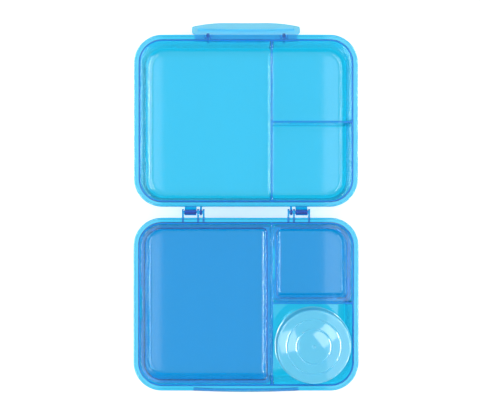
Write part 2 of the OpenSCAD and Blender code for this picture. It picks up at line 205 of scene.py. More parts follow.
def loops(low, high, radii, turn=CORNER_STEPS, stops=((), (), (), ())):
    """Loops round rectangles with rounded corners, one loop for each row of low, high and radii.

    Each corner is a quarter circle about a centre one radius in from two sides. stops[i] are
    more points on the side after corner i. Anticlockwise from the (+X, +Y) corner.
    """
    low, high, radii = (np.atleast_2d(np.asarray(a, float)) for a in (low, high, radii))
    parts = []
    for i, (sx, sy) in enumerate(((1, 1), (-1, 1), (-1, -1), (1, -1))):
        r = radii[:, i]
        centre_x = high[:, 0] - r if sx > 0 else low[:, 0] + r
        centre_y = high[:, 1] - r if sy > 0 else low[:, 1] + r
        turns = np.radians(90 * i + 90 * np.linspace(0, 1, turn + 1))
        centre = np.stack([centre_x, centre_y], -1)[:, None]
        parts.append(centre + polar(r[:, None], turns))
        for stop in stops[i]:
            along = np.broadcast_to(float(stop), len(low))
            if i % 2 == 0:
                across = high[:, 1] if i == 0 else low[:, 1]
                side = [along, across]
            else:
                across = low[:, 0] if i == 1 else high[:, 0]
                side = [across, along]
            parts.append(np.stack(side, -1)[:, None])
    return np.concatenate(parts, 1)


def lift(flat, z):
    """Gives each loop its height."""
    z = np.broadcast_to(np.asarray(z, float)[:, None], flat.shape[:2])
    return np.concatenate([flat, z[..., None]], -1)


def skin(levels, first_cap=True, last_cap=True):
    """Points and faces of a skin through loops: a quad between neighbours, and flat ends."""
    rows, count = levels.shape[:2]
    i = np.arange((rows - 1) * count).reshape(rows - 1, count)
    j = np.roll(i, -1, 1)
    faces = np.stack([i, j, j + count, i + count], -1).reshape(-1, 4).tolist()
    if first_cap:
        faces.insert(0, list(range(count))[::-1])
    if last_cap:
        faces.append(list(range((rows - 1) * count, rows * count)))
    return levels.reshape(-1, 3), faces


def joined(*shapes):
    """Several shapes' points and faces as one."""
    points, faces, start = [], [], 0
    for p, f in shapes:
        points.append(p)
        faces.extend([[v + start for v in face] for face in f])
        start += len(p)
    return np.concatenate(points), faces


def moved(shape, x=0.0, y=0.0, z=0.0):
    """The shape carried along by (x, y, z)."""
    return shape[0] + np.array([x, y, z]), shape[1]


def mirrored(shape):
    """The shape's mirror image across X = 0, facing outwards."""
    return shape[0] * np.array([-1, 1, 1]), [face[::-1] for face in shape[1]]


def both_sides(*shapes):
    """The shapes and their mirror images as one."""
    return joined(*shapes, *[mirrored(s) for s in shapes])


def new_object(name, shape):
    """An object at the origin from a shape's points in millimetres and its faces."""
    points, faces = shape
    mesh = bpy.data.meshes.new(name)
    mesh.from_pydata((points * MM).tolist(), [], faces)
    obj = bpy.data.objects.new(name, mesh)
    scene.collection.objects.link(obj)
    return obj


def piece(name, shape, material, body, stands_for=None, edge=0.0, bands=()):
    """A smooth-shaded object on one body, with its material and any bands, its edges rounded by
    edge.

    bands are pairs of another material and the range of faces that has it.
    """
    obj = new_object(name, shape)
    mesh = obj.data
    mesh.materials.append(material)
    finish = np.zeros(len(mesh.polygons), np.int32)
    for number, (other, where) in enumerate(bands, 1):
        mesh.materials.append(other)
        finish[where] = number
    mesh.polygons.foreach_set("material_index", finish)
    bm = bmesh.new()
    bm.from_mesh(mesh)
    bmesh.ops.remove_doubles(bm, verts=bm.verts, dist=MERGE)
    bm.to_mesh(mesh)
    bm.free()
    mesh.shade_smooth()
    mesh.set_sharp_from_angle(angle=SHARP_TURN)
    if edge:
        bevel = obj.modifiers.new("rounded edges", "BEVEL")
        bevel.width = edge * MM
        bevel.segments = 2
        bevel.limit_method = "ANGLE"
        bevel.angle_limit = SHARP_TURN
        bevel.harden_normals = False
    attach(obj, body)
    if stands_for:
        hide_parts(stands_for)
    return obj


def cut_block(obj, low, high):
    """Takes the block from low to high out of a piece. The piece's mesh stays closed."""
    corner_points = loops(low[:2], high[:2], [[0.0] * 4], turn=0)
    block = new_object("block", skin(lift(np.repeat(corner_points, 2, 0), [low[2], high[2]])))
    cut = obj.modifiers.new("cut", "BOOLEAN")
    cut.operation = "DIFFERENCE"
    cut.object = block
    ready = obj.evaluated_get(bpy.context.evaluated_depsgraph_get())
    cut_mesh = bpy.data.meshes.new_from_object(ready)
    cut_mesh.set_sharp_from_angle(angle=SHARP_TURN)
    obj.modifiers.remove(cut)
    whole_mesh, obj.data = obj.data, cut_mesh
    block_mesh = block.data
    bpy.data.objects.remove(block)
    bpy.data.meshes.remove(block_mesh)
    bpy.data.meshes.remove(whole_mesh)


# ---------------------------------------------------------------- the tubs
def wall_place(z, height):
    """How far out from the rim's edge the inner wall is at height z, with its fillet.

    A straight line at the wall's slope, and under it a circle that touches wall and floor.
    """
    lean = math.atan(SLOPE)
    foot = -WALL_IN - (height - FLOOR) * SLOPE
    middle = foot - FLOOR_FILLET * (1 / math.cos(lean) - SLOPE)
    rise = FLOOR + FLOOR_FILLET - z
    low = rise > FLOOR_FILLET * math.sin(lean)
    arc = middle + np.sqrt(np.maximum(FLOOR_FILLET**2 - rise**2, 0))
    return np.where(low, arc, -WALL_IN - (height - z) * SLOPE)


def divider_half(z, height):
    """Half a divider's thickness at height z, with its rounded top and its fillet at the floor."""
    top = height - DIVIDER_DROP
    half = DIVIDER_T / 2 + (top - z) * DIVIDER_SLOPE
    over = np.maximum(z - (top - DIVIDER_EDGE), 0)
    under = np.maximum(DIVIDER_FILLET - (z - FLOOR), 0)
    half = half - (DIVIDER_EDGE - np.sqrt(np.maximum(DIVIDER_EDGE**2 - over**2, 0)))
    return half + (DIVIDER_FILLET - np.sqrt(np.maximum(DIVIDER_FILLET**2 - under**2, 0)))


def tub_outside(height, half_top, cross):
    """A tub's outer skin, from its underside over the rim to the tops of its dividers.

    The loops have points where the dividers' tops meet them, each half_top to either side of
    its middle. Returns the loops, the first row above the foot and the first row of the painted
    shade line.
    """
    top = height - DIVIDER_DROP
    line = [
        (-UNDERSIDE_IN, 0, 0),
        (-RIM_W - height * SLOPE, 0, FLOOR_FILLET + WALL),
        (-RIM_W - RIM_T * SLOPE, height - RIM_T, 0.5),
        (-SKIRT_T, height - RIM_T, 0.4),
        (-SKIRT_T, height - SKIRT_H, 0.3),
        (0, height - SKIRT_H, 0.3),
        (0, height, RIM_EDGE),
        (-WALL_IN + PAINTED_SHADE_W, height, 0),
        (-WALL_IN, height, RIM_LIP),
        (-WALL_IN - DIVIDER_DROP * SLOPE, top, 0),
    ]
    near = 0.01
    section = soften(line, steps=7)
    out, z = section[:, 0], section[:, 1]
    foot_rows = int(np.argmax(z > SATIN_H))
    # from this row on to the dividers' tops the surface takes painted shade, a darker blue for the
    # wall seen end-on
    painted_shade_row = int(np.argmax((out < -WALL_IN + PAINTED_SHADE_W + near) & (z > height - near)))
    left_x, right_x = DIVIDER_X - half_top - HOLLOW_R, DIVIDER_X + half_top + HOLLOW_R
    near_y, far_y = cross - half_top - HOLLOW_R, cross + half_top + HOLLOW_R
    stops = ((right_x, left_x), (), (left_x, right_x), (near_y, far_y))
    low = np.stack([-HALF_W - out, -HALF_D - out], -1)
    high = np.stack([HALF_W + out, HALF_D + out], -1)
    radii = np.repeat(CORNER_R + out[:, None], 4, 1)
    return lift(loops(low, high, radii, stops=stops), z), foot_rows, painted_shade_row


def tub(height, cross):
    """A tub's whole surface: its outer skin over the rim, three hollows and the dividers' tops.

    cross is where its cross divider stands. Returns the ranges of faces of its foot, of the
    painted shade line along its rim and of its dividers' tops, which take painted shade too,
    and then the shape.
    """
    top = height - DIVIDER_DROP
    half_top = float(divider_half(np.array([top]), height)[0])
    outer, foot_rows, painted_shade_row = tub_outside(height, half_top, cross)

    turns = np.linspace(math.atan(SLOPE), math.pi / 2, 11)
    heights = np.concatenate([
        top - DIVIDER_EDGE * (1 - np.cos(np.linspace(0, math.pi / 2, 5))),
        FLOOR + FLOOR_FILLET * (1 - np.sin(turns)),
    ])
    place = wall_place(heights, height)
    half = divider_half(heights, height)
    # one more loop, a little way in on the floor, keeps the floor flat
    step = 0.6
    heights = np.append(heights, FLOOR)
    place = np.append(place, place[-1] - step)
    half = np.append(half, half[-1] + step)
    out_x, out_y = HALF_W + place, HALF_D + place
    big, least = CORNER_R + place, 0.3
    tight = np.clip(HOLLOW_R - (half - half_top) + least, least, HOLLOW_R)

    def hollow(x0, x1, y0, y1, radii):
        flat = loops(np.stack([x0, y0], -1), np.stack([x1, y1], -1), np.stack(radii, -1))
        return lift(flat, heights)

    left = hollow(-out_x, DIVIDER_X - half, -out_y, out_y, (tight, big, big, tight))
    near = hollow(DIVIDER_X + half, out_x, -out_y, cross - half, (tight, tight, tight, big))
    far = hollow(DIVIDER_X + half, out_x, cross + half, out_y, (big, tight, tight, tight))

    def top_corner(levels, i):
        n = CORNER_STEPS + 1
        return levels[0, i * n:(i + 1) * n][::-1]

    # the tops: from the far wall down the left hollow's side, round the near and far hollows
    crown = np.concatenate([
        *[top_corner(left, i) for i in (0, 3)],
        *[top_corner(near, i) for i in (2, 1, 0)],
        *[top_corner(far, i) for i in (3, 2, 1)],
    ])
    rows, count = outer.shape[:2]
    foot = slice(1 + count, 1 + foot_rows * count)
    # the rim's inner strip, lip and wall top take painted shade: a darker blue for the wall seen
    # end-on
    painted_shade_line = slice(1 + painted_shade_row * count, 1 + (rows - 1) * count)
    # the dividers' tops take the same painted shade
    divider_tops = slice(-1, None)
    return (foot, painted_shade_line, divider_tops), joined(
        skin(outer, last_cap=False),
        skin(left, first_cap=False),
        skin(near, first_cap=False),
        skin(far, first_cap=False),
        (crown, [list(range(len(crown)))]),
    )


# ---------------------------------------------------------------- hinges and posts
def reach(corner_points, turns, least):
    """How far out an outline goes at each angle: to the straight sides between its corners,
    where the ray at that angle crosses them, or to a circle of the least radius."""
    pts = np.array(corner_points, float)
    ends = np.roll(pts, -1, 0)
    ray = polar(1, turns)[:, None]
    edge = (ends - pts)[None]
    cross = ray[..., 0] * edge[..., 1] - ray[..., 1] * edge[..., 0]
    cross = np.where(np.abs(cross) < 1e-9, 1e-9, cross)
    far = (pts[None, :, 0] * edge[..., 1] - pts[None, :, 1] * edge[..., 0]) / cross
    along = (pts[None, :, 0] * ray[..., 1] - pts[None, :, 1] * ray[..., 0]) / cross
    hit = (along > -1e-6) & (along < 1 + 1e-6) & (far > 0)
    return np.maximum(np.where(hit, far, 0).max(1), least)


def around(corner_points, least, count=64):
    """Angles for an outline: evenly spaced, and one at each corner of its straight sides."""
    own = [math.atan2(b, a) for a, b in corner_points if math.hypot(a, b) > least + 0.05]
    turns = np.sort(np.concatenate([np.linspace(-math.pi, math.pi, count, endpoint=False), own]))
    return turns[np.append(True, np.diff(turns) > 1e-3)]


def outline(corner_points, least, turns):
    """A circle of the least radius that grows out to the straight sides between its corners."""
    return polar(reach(corner_points, turns, least), turns)


def at_x(flat, x):
    """Points (y, z) put at x."""
    return np.concatenate([np.full((len(flat), 1), x), flat], 1)


def slab(corner_points, least, x0, x1):
    """A plate from x0 to x1 with an outline of (y, z)."""
    flat = outline(corner_points, least, around(corner_points, least))
    return skin(np.stack([at_x(flat, x) for x in (x0, x1)]))


def bored(inner, outer, x0, x1, shut=True):
    """A plate from x0 to x1 between two lines: a ring, or a C where shut is False."""
    lines = [(outer, x0), (outer, x1), (inner, x1), (inner, x0)]
    ring = np.stack([at_x(flat, x) for flat, x in lines], 1)
    i = np.arange(4 * len(outer)).reshape(len(outer), 4)
    here, on = (i, np.roll(i, -1, 0)) if shut else (i[:-1], i[1:])
    quads = np.stack([here, on, np.roll(on, -1, 1), np.roll(here, -1, 1)], -1)
    quads = quads.reshape(-1, 4).tolist()
    if not shut:
        quads.append(i[0].tolist())
        quads.append(i[-1][::-1].tolist())
    return ring.reshape(-1, 3), quads


def rod(radius, x0, x1, count=40, edge=0.15):
    """A round pin along X from x0 to x1 with softened ends."""
    turns = np.linspace(0, 2 * math.pi, count, endpoint=False)
    rows = [(x0, radius - edge), (x0 + edge, radius), (x1 - edge, radius), (x1, radius - edge)]
    return skin(np.stack([at_x(polar(r, turns), x) for x, r in rows]))


def base_lugs():
    """The base's six lugs, whose feet run down its wall, and the four pins between them."""
    low = CATCH_LOW - HINGE_Z - LUG_FOOT
    wall_y = -HINGE_OFF - RIM_W - (BASE_H - CATCH_LOW + LUG_FOOT) * SLOPE - WALL / 2
    pts = [
        (wall_y, low),
        (wall_y, BASE_H - HINGE_Z - RIM_T + SINK),
        (-HINGE_OFF - SKIRT_T / 2, BASE_H - HINGE_Z - RIM_EDGE),
        (0, KNUCKLE_R),
        (0, -KNUCKLE_R),
    ]
    lugs = [slab(pts, KNUCKLE_R, x, x + LUG_T) for x in LUGS]
    pins = [rod(PIN_R, a + LUG_T - SINK, b + SINK) for a, b in zip(LUGS, LUGS[1:])]
    return moved(both_sides(*lugs, *pins), y=HINGE_Y, z=HINGE_Z)


def lid_hooks():
    """The lid's four hooks: thick Cs round their pins, from one side of the mouth to the other."""
    root, rim = HINGE_OFF + SKIRT_T / 2, LID_H - HINGE_Z
    pts = [
        (0, -KNUCKLE_R),
        (root, rim - SKIRT_H),
        (root, rim - RIM_EDGE + 2 * SINK),
        (HINGE_OFF, rim - SINK),
        (0, KNUCKLE_R),
    ]
    bore = PIN_R + PIN_GAP
    wide_in, wide_out = (math.asin(HOOK_MOUTH / 2 / r) for r in (bore, KNUCKLE_R))
    start = math.radians(MOUTH_TURN) - 2 * math.pi
    turns = start + wide_out + (2 * math.pi - 2 * wide_out) * np.linspace(0, 1, 61)
    own = [math.atan2(b, a) for a, b in pts[1:4]]
    turns = np.sort(np.concatenate([turns, own]))
    share = (turns - turns[0]) / (turns[-1] - turns[0])
    inner = polar(bore, start + wide_in + (2 * math.pi - 2 * wide_in) * share)
    outer = outline(pts, KNUCKLE_R, turns)
    hooks = [bored(inner, outer, a, b, shut=False) for a, b in HOOKS]
    return moved(both_sides(*hooks), y=HINGE_Y, z=HINGE_Z)


def lid_posts():
    """The two posts under the lid's rim, each with a stub pin on both sides."""
    low, high = -POST_R - POST_FOOT, PIVOT_DROP - RIM_T + POST_SINK
    back = -(RIM_W - PIVOT_IN) - (PIVOT_DROP - low) * SLOPE - WALL / 2
    pts = [(back, low), (0, -POST_R), (0, high), (back, high)]
    side, end = POST_T / 2, POST_T / 2 + EAR_GAP + EAR_T + STUB_OUT
    post = slab(pts, POST_R, POST_X - side, POST_X + side)
    stubs = [
        rod(PIN_R, POST_X - end, POST_X - side + SINK),
        rod(PIN_R, POST_X + side - SINK, POST_X + end),
    ]
    return moved(both_sides(post, *stubs), y=PIVOT_Y, z=PIVOT_Z)


# ---------------------------------------------------------------- the catch and the clip
def bowed(section, half, out, columns=60):
    """A closed section of (out, height) carried along a gentle bow, half a length either side.

    The bow is a circle about a point far behind, so a point s out sits at s less the drop of
    that circle at its place along the bow.
    """
    section = np.array(section, float)
    turn = math.asin(half / BOW_R) * np.linspace(1, -1, columns)
    r = BOW_R - out + section[:, 0]
    x = r[None] * np.sin(turn)[:, None]
    y = out - BOW_R + r[None] * np.cos(turn)[:, None]
    z = np.broadcast_to(section[:, 1], x.shape)
    return skin(np.stack([x, y, z], -1))


def catch():
    """The ridge under the base's front rim that the clip's hook goes under."""
    out = CATCH_OUT + CLIP_BOW
    section = [
        (-SKIRT_T, CATCH_LOW),
        (-SKIRT_T, BASE_H - RIM_EDGE),
        (out - CATCH_LEAN, CATCH_LOW + CATCH_H),
        (out, CATCH_LOW + CATCH_H / 2),
        (out, CATCH_LOW),
    ]
    # half a turn about the upright axis brings it to the front
    points, faces = bowed(section, CATCH_HALF, out)
    return points * np.array([-1, -1, 1]) + np.array([0, -HALF_D, 0]), faces


def clip_plate():
    """The clip's curved plate with its tongue: rings in (height, out), strung along its width.

    Its free edge is level in the middle and falls in an arc to each end, where the corners
    are round. Its tongue ends short of them and has a slot at each post.
    """
    side = CLIP_HALF - CLIP_FLAT
    arc = (side**2 + CLIP_RISE**2) / (2 * CLIP_RISE)
    end = CLIP_LEN - CLIP_RISE - CLIP_END_DROP
    slot = POST_T / 2 + EAR_GAP
    corner_x = CLIP_HALF - CLIP_CORNER
    step, near = 0.05, 0.02
    swing = np.linspace(0, math.pi / 2, 9)
    # places across the right half, close together where the outline turns
    right = np.unique(np.round(np.concatenate([
        np.linspace(0, POST_X - slot - step, 12),
        [POST_X - slot, POST_X + slot, POST_X + slot + step],
        np.linspace(POST_X + 4, corner_x, 6),
        [TONGUE_HALF, TONGUE_HALF + step],
        corner_x + (CLIP_CORNER - CLIP_EDGE) * np.sin(swing),
        CLIP_HALF - CLIP_EDGE + CLIP_EDGE * np.sin(swing[::2]),
    ]), 4))
    right = right[np.append(True, np.diff(right) > near)]
    x = np.concatenate([right[::-1], -right[1:]])
    u = np.abs(x)
    round_in = np.sqrt(np.maximum(CLIP_CORNER**2 - np.maximum(u - corner_x, 0) ** 2, 0))
    high = CLIP_LEN - arc + np.sqrt(arc**2 - np.maximum(u - CLIP_FLAT, 0) ** 2)
    high = np.minimum(high, np.where(u > corner_x, end + round_in, CLIP_LEN))
    low = np.where(u > TONGUE_HALF + near, SHOULDER + CLIP_CORNER - round_in, TONGUE_LOW)
    at_post = (u > POST_X - slot - near) & (u < POST_X + slot + near)
    low = np.where(at_post, SLOT_TOP, low)
    # the section draws in round the very ends, and stops a little short of nothing
    past = np.maximum(u - (CLIP_HALF - CLIP_EDGE), 0)
    ends = CLIP_EDGE - np.sqrt(np.maximum(CLIP_EDGE**2 - past**2, 0))
    ends = np.minimum(ends, CLIP_EDGE * 0.9)
    flat = loops(
        np.stack([low + ends, PLATE_OUT + ends], -1),
        np.stack([high - ends, PLATE_OUT + CLIP_T - ends], -1),
        np.repeat((CLIP_EDGE - ends * 0.95)[:, None], 4, 1),
        turn=4,
    )
    height, out = flat[..., 0], flat[..., 1]
    drop = BOW_R - np.sqrt(BOW_R**2 - x**2)
    across = np.broadcast_to(x[:, None], height.shape)
    return skin(np.stack([across, out - drop[:, None], height], -1))


def clip_ledge():
    """The hook along the clip's inner face."""
    low = PIVOT_DROP + RIM_GAP + BASE_H - CATCH_LOW + CATCH_PLAY
    tip, root = PLATE_OUT - LEDGE_IN, PLATE_OUT + CLIP_T / 2
    section = [(tip, low), (tip, low + LEDGE_TIP), (root, low + LEDGE_ROOT), (root, low)]
    return bowed(section, CATCH_HALF - LEDGE_SHORT, PLATE_OUT)


def clip_ears():
    """The clip's four ears, one on each side of each post, bored for the stub pins."""
    root = PLATE_OUT - CLIP_BOW * (POST_X / CLIP_HALF) ** 2 + CLIP_T / 2
    pts = [(0, -EAR_R), (root, TONGUE_LOW), (root, EAR_TOP), tuple(polar(EAR_R, EAR_TURN))]
    turns = around(pts, EAR_R)
    inner, outer = polar(PIN_R + PIN_GAP, turns), outline(pts, EAR_R, turns)
    off = POST_T / 2 + EAR_GAP + EAR_T / 2
    places = [POST_X + s * off for s in (-1, 1)]
    return both_sides(*[bored(inner, outer, x - EAR_T / 2, x + EAR_T / 2) for x in places])


def opened(shape):
    """A clip's shape turned about its pins from latched to open, and put on its posts."""
    c, s = math.cos(-CLIP_OPEN), math.sin(-CLIP_OPEN)
    (x, y, z), faces = shape[0].T, shape[1]
    return moved((np.stack([x, y * c - z * s, y * s + z * c], -1), faces), y=PIVOT_Y, z=PIVOT_Z)


# ---------------------------------------------------------------- the trays and the pot
def tray(low, high, walls, rims):
    """A tray's whole surface. walls and rims are its corners' radii at the wall and at the rim.

    The notch moves the rim's left side in by a smooth step, 3t^2 - 2t^3, at each of its ends.
    """
    low, high = np.array(low, float), np.array(high, float)
    foot = -TRAY_RIM_W - (TRAY_Z1 - TRAY_Z0) * TRAY_SLOPE
    floor = TRAY_Z0 + TRAY_WALL
    inner_top = -TRAY_RIM_W - TRAY_WALL
    inner_foot = inner_top - (TRAY_Z1 - floor) * TRAY_SLOPE
    wall, rim = 0, 1
    under_in, floor_in = 4.6, 3.0
    line = [
        (foot - under_in, TRAY_Z0, 0, wall),
        (foot, TRAY_Z0, TRAY_FILLET + TRAY_WALL - 0.1, wall),
        (-TRAY_RIM_W - TRAY_RIM_T * TRAY_SLOPE, TRAY_RIM_Z, 0.25, wall),
        (0, TRAY_RIM_Z, 0.3, rim),
        (0, TRAY_Z1, 0.45, rim),
        (inner_top, TRAY_Z1, 0.3, wall),
        (inner_foot, floor, TRAY_FILLET, wall),
        (inner_foot - floor_in, floor, 0, wall),
    ]
    out, z, kind = soften(line, steps=6, hold=0.2).T
    on_rim = (kind == rim)[:, None]
    radii = np.maximum(np.where(on_rim, rims, walls) + out[:, None], 0.4)
    middle, half, turn = (low[1] + high[1]) / 2, NOTCH_W / 2, 12
    fade = np.linspace(-NOTCH_FADE, NOTCH_FADE, 6)
    places = np.sort(np.concatenate([middle + half + fade, middle - half + fade]))[::-1]
    stops = ((), tuple(places), (), ())
    flat = loops(low - out[:, None], high + out[:, None], radii, turn=turn, stops=stops)
    into = half + NOTCH_FADE - np.abs(flat[..., 1] - middle)
    into = np.clip(into / (2 * NOTCH_FADE), 0, 1)
    into = into * into * (3 - 2 * into)
    on_side = np.zeros(flat.shape[1], bool)
    first = 2 * (turn + 1)
    on_side[first:first + len(places)] = True
    flat[..., 0] += np.where(on_side & on_rim, NOTCH_D * into, 0)
    return skin(lift(flat, z))


def turned(line, count=112):
    """A section of (radius, height) turned about the pot's axis, closed at both ends."""
    rows = soften(line, steps=6, hold=0.2)
    turns = np.linspace(0, 2 * math.pi, count, endpoint=False)
    rings = lift(polar(rows[:, :1], turns), rows[:, 1])
    return moved(skin(rings), POT_X, POT_Y, POT_Z)


def pot():
    """The pot's body: a leaning wall and a straight neck, open at the top."""
    low, mouth = POT_H - POT_LID_H, POT_H - POT_LID_T - POT_GAP
    inner = POT_NECK - POT_WALL
    inner_foot = inner - (POT_NECK - POT_FOOT) / low * (low - FLOOR)
    return turned([
        (1, 0, 0),
        (POT_FOOT, 0, 4),
        (POT_NECK, low, 2),
        (POT_NECK, mouth, 0.5),
        (inner, mouth, 0.5),
        (inner, low, 2),
        (inner_foot, FLOOR, 3),
        (1, FLOOR, 0),
    ])


def groove(r, top):
    """A shallow V round the pot's lid at radius r."""
    lip = 0.25
    return [(r + GROOVE_HALF, top, lip), (r, top - GROOVE_DEPTH, 0.3), (r - GROOVE_HALF, top, lip)]


def pot_cap():
    """The pot's lid: a plug in the neck, a skirt round it with a bead, grooves and a dimple."""
    low, top = POT_H - POT_LID_H, POT_H
    under = top - POT_LID_T
    plug = POT_NECK - POT_WALL - POT_GAP
    neck = POT_NECK + POT_GAP
    return turned([
        (1, under, 0),
        (plug - PLUG_T, under, 0.4),
        (plug - PLUG_T, under - PLUG_H, 0.3),
        (plug, under - PLUG_H, 0.3),
        (plug, under, 0.1),
        (neck, under, 0.4),
        (neck, low, 0.25),
        (LID_BEAD_R, low, 0.75),
        (LID_BEAD_R, low + LID_BEAD_H, 0.7),
        (LID_BEAD_R - LID_BEAD_T, low + LID_BEAD_H + 0.6, 0.5),
        (LID_TOP_R, top, 1.5),
        *[point for r in GROOVES for point in groove(r, top)],
        (DIMPLE_R, top, 0.2),
        (DIMPLE_R - 0.6, top - DIMPLE_DEPTH, 0.15),
        (0.5, top - DIMPLE_DEPTH, 0),
    ])


# ---------------------------------------------------------------- materials
def shader(name):
    """A new material with its node tree, its shader and its output."""
    material = bpy.data.materials.new(name)
    material.use_nodes = True
    tree = material.node_tree
    return material, tree, tree.nodes["Principled BSDF"], tree.nodes["Material Output"]


def noise(tree, scale, detail):
    """Soft noise laid on the object's own coordinates, in metres."""
    place = tree.nodes.new("ShaderNodeTexCoord")
    made = tree.nodes.new("ShaderNodeTexNoise")
    made.inputs["Scale"].default_value = scale
    made.inputs["Detail"].default_value = detail
    tree.links.new(place.outputs["Object"], made.inputs["Vector"])
    return made.outputs["Fac"]


def spread(tree, value, low, high):
    """Carries a noise's middle range on to low..high."""
    made = tree.nodes.new("ShaderNodeMapRange")
    made.inputs["From Min"].default_value = 0.3
    made.inputs["From Max"].default_value = 0.7
    made.inputs["To Min"].default_value = low
    made.inputs["To Max"].default_value = high
    tree.links.new(value, made.inputs["Value"])
    return made.outputs["Result"]


def rippled(tree, body, value, strength, distance):
    """Slight unevenness of a moulded face, as a bump at most distance metres high."""
    bump = tree.nodes.new("ShaderNodeBump")
    bump.inputs["Strength"].default_value = strength
    bump.inputs["Distance"].default_value = distance
    tree.links.new(value, bump.inputs["Height"])
    tree.links.new(bump.outputs["Normal"], body.inputs["Normal"])


def clear_plastic(name, tint, absorbed, density, rough):
    """See-through moulded plastic, darker where light crosses more of it."""
    material, tree, body, out = shader(name)
    body.inputs["Base Color"].default_value = (*tint, 1)
    body.inputs["IOR"].default_value = 1.49
    body.inputs["Transmission Weight"].default_value = 1
    tree.links.new(spread(tree, noise(tree, 60, 4), *rough), body.inputs["Roughness"])
    inside = tree.nodes.new("ShaderNodeVolumeAbsorption")
    inside.inputs["Color"].default_value = (*absorbed, 1)
    inside.inputs["Density"].default_value = density
    tree.links.new(inside.outputs[0], out.inputs["Volume"])
    rippled(tree, body, noise(tree, 14, 1), 0.05, 0.0006)
    return material


def milky_plastic(name, colour, rough, milk, gloss=0.5):
    """Softer, cloudy plastic that light goes a little way into. gloss is its face's shine."""
    material, tree, body, out = shader(name)
    body.inputs["Base Color"].default_value = (*colour, 1)
    body.inputs["Specular IOR Level"].default_value = gloss
    body.inputs["Subsurface Weight"].default_value = milk
    body.inputs["Subsurface Radius"].default_value = (0.25, 0.7, 1.0)
    body.inputs["Subsurface Scale"].default_value = 0.0015
    tree.links.new(spread(tree, noise(tree, 90, 4), *rough), body.inputs["Roughness"])
    rippled(tree, body, noise(tree, 25, 1), 0.1, 0.0003)
    return material


ABSORBED, DENSITY = (0.0, 0.965, 0.99), 240
# THICK_SHADE_TINT is painted shade: a darker copy of the blue tint for the hinge lugs, hooks and
# posts
BLUE_TINT, THICK_SHADE_TINT = (0.04, 0.58, 0.88), (0.01, 0.4, 0.78)
blue = clear_plastic("clear_blue_plastic", BLUE_TINT, ABSORBED, DENSITY, (0.045, 0.06))
satin = clear_plastic("satin_blue_plastic", BLUE_TINT, ABSORBED, DENSITY, (0.12, 0.15))
# the same plastic and absorption as the blue, with a darker tint painted as shade for the hinge
# lugs, hooks and posts
thick_shade_blue = clear_plastic("thick_parts_shade_blue", THICK_SHADE_TINT, ABSORBED, DENSITY, (0.05, 0.08))
# painted shade: an opaque darker blue on the rim's inner edge and the dividers' tops, standing in
# for the dark look of walls seen end-on
painted_shade_blue = milky_plastic("painted_shade_edge_blue", (0.0, 0.2, 0.72), (0.3, 0.4), 0.1, gloss=0.15)
milky = milky_plastic("milky_blue_plastic", (0.19, 0.7, 0.96), (0.15, 0.25), 0.15)
cap_plastic = milky_plastic("pot_lid_blue_plastic", (0.11, 0.56, 0.83), (0.015, 0.03), 0.15)

# ---------------------------------------------------------------- the pieces
# the foot's satin plastic, then the painted shade on the rim's inner line and on the dividers'
# tops
TUB_SATIN_AND_SHADE = satin, painted_shade_blue, painted_shade_blue
parts, shell = tub(BASE_H, DIVIDER_Y)
bands = zip(TUB_SATIN_AND_SHADE, parts)
piece("base_shell", shell, blue, "base", "base_tub", bands=bands)
# the lugs, hooks and posts take the blue with painted shade
piece("base_hinge_lugs", base_lugs(), thick_shade_blue, "base", edge=0.2)
piece("base_catch", catch(), blue, "base", edge=0.25)
parts, shell = tub(LID_H, -DIVIDER_Y)
shell, bands = moved(shell, y=LID_Y), zip(TUB_SATIN_AND_SHADE, parts)
lid_shell = piece("lid_shell", shell, blue, "lid_body", "lid", bands=bands)
bay_y = LID_Y + HALF_D - SKIRT_T - BAY_IN
cut_block(
    lid_shell,
    (-BAY_HALF, bay_y, LID_H - SKIRT_H - BAY_OVER),
    (BAY_HALF, bay_y + SKIRT_T + BAY_OVER, LID_H - RIM_T),
)
piece("lid_hinge_hooks", lid_hooks(), thick_shade_blue, "lid_body", edge=0.15)
piece("lid_clip_posts", lid_posts(), thick_shade_blue, "lid_body", edge=0.2)
piece("clip_plate", opened(clip_plate()), milky, "clip", "front_clip")
piece("clip_hook", opened(clip_ledge()), milky, "clip", edge=0.25)
piece("clip_ears", opened(clip_ears()), milky, "clip", edge=0.2)
edge_x, edge_y = HALF_W - CORNER_R + TRAY_R, HALF_D - CORNER_R + TRAY_R
large_tray = tray(
    (-edge_x, -edge_y), (DIVIDER_X - TRAY_OFF, edge_y),
    walls=(TRAY_TURN_R, TRAY_R, TRAY_R, TRAY_TURN_R),
    rims=(TRAY_RIM_R, TRAY_R, TRAY_R, TRAY_RIM_R),
)
small_tray = tray(
    (DIVIDER_X + TRAY_OFF, DIVIDER_Y + TRAY_OFF), (edge_x, edge_y),
    walls=(TRAY_R, TRAY_TURN_R, TRAY_TURN_R, TRAY_TURN_R),
    rims=(TRAY_R, TRAY_RIM_R, TRAY_RIM_R, TRAY_RIM_R),
)
piece("large_tray_shell", large_tray, blue, "tray_large", "sandwich_tray")
piece("small_tray_shell", small_tray, blue, "tray_small", "side_tray")
piece("pot_shell", pot(), blue, "pot", "pot_body")
piece("pot_cap", pot_cap(), cap_plastic, "pot_cap", "pot_lid")


# ---------------------------------------------------------------- table, light and camera
# the table's glow where it's seen, and how much of it is plain white through plastic
TABLE_LIFT, TABLE_THROUGH = 0.5, 0.8
# the room's strength where it's seen, and where it only lights things
ROOM_SEEN, ROOM_LIGHT = 1.0, 0.6
# lengths from here on are in metres
TABLE_DROP = 0.0004
BOX_MIDDLE = (0, 0.09, 0)
WINDOWS_AT = (0.06, -0.04, 0)
CAMERA_PLACE = (-0.0057, 0.0887, 0.9)
LENS, SENSOR = 68.7, 36
BOUNCES = 32


